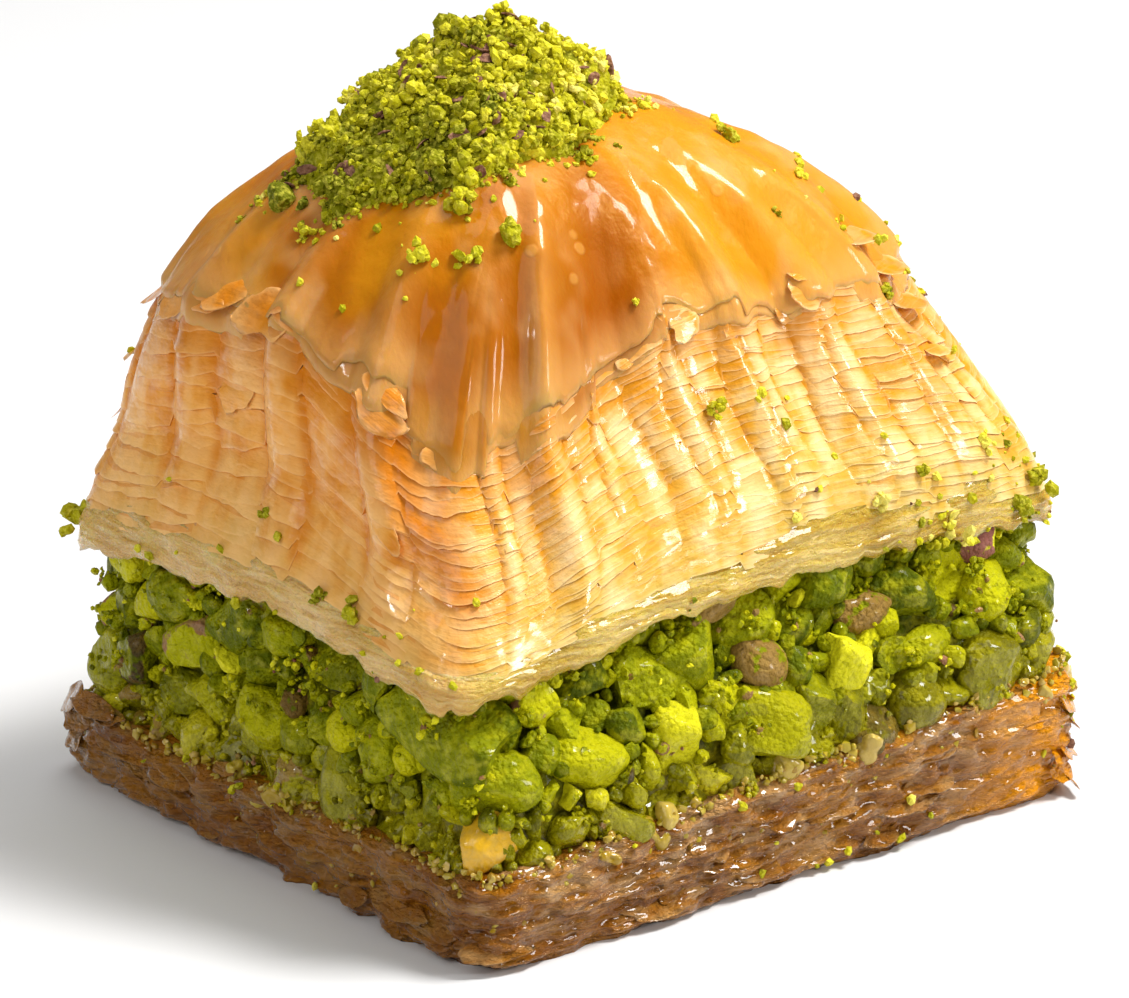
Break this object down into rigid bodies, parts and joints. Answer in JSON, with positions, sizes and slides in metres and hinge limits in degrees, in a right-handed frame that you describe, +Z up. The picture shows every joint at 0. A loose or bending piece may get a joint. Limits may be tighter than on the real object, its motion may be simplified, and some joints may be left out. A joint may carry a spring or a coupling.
{
  "type": "baklava piece",
  "caption": "Square cut piece of pistachio baklava: syrup-soaked base, packed chopped nut filling, domed flaky lid and a heap of ground nuts on top",
  "frame": {"origin": "middle of the base's flat underside, at the height of the surface it stands on", "axes": "+Z up, the long cut side faces -Y and the short cut side faces -X"},
  "size_m": [0.0452, 0.0402, 0.045],
  "materials": {
    "soaked_pastry": "pastry leaves pressed and soaked in syrup, dark amber and glossy",
    "chopped_nuts": "coarse chopped pistachio, bright green and moist",
    "flaky_pastry": "thin baked leaves, golden, brushed with syrup",
    "ground_nuts": "finely ground pistachio, yellow-green and dry"
  },
  "bodies": {
    "root": {"base_pastry": "soaked_pastry", "nut_filling": "chopped_nuts", "top_pastry": "flaky_pastry", "nut_heap": "ground_nuts"}
  },
  "joints": []
}
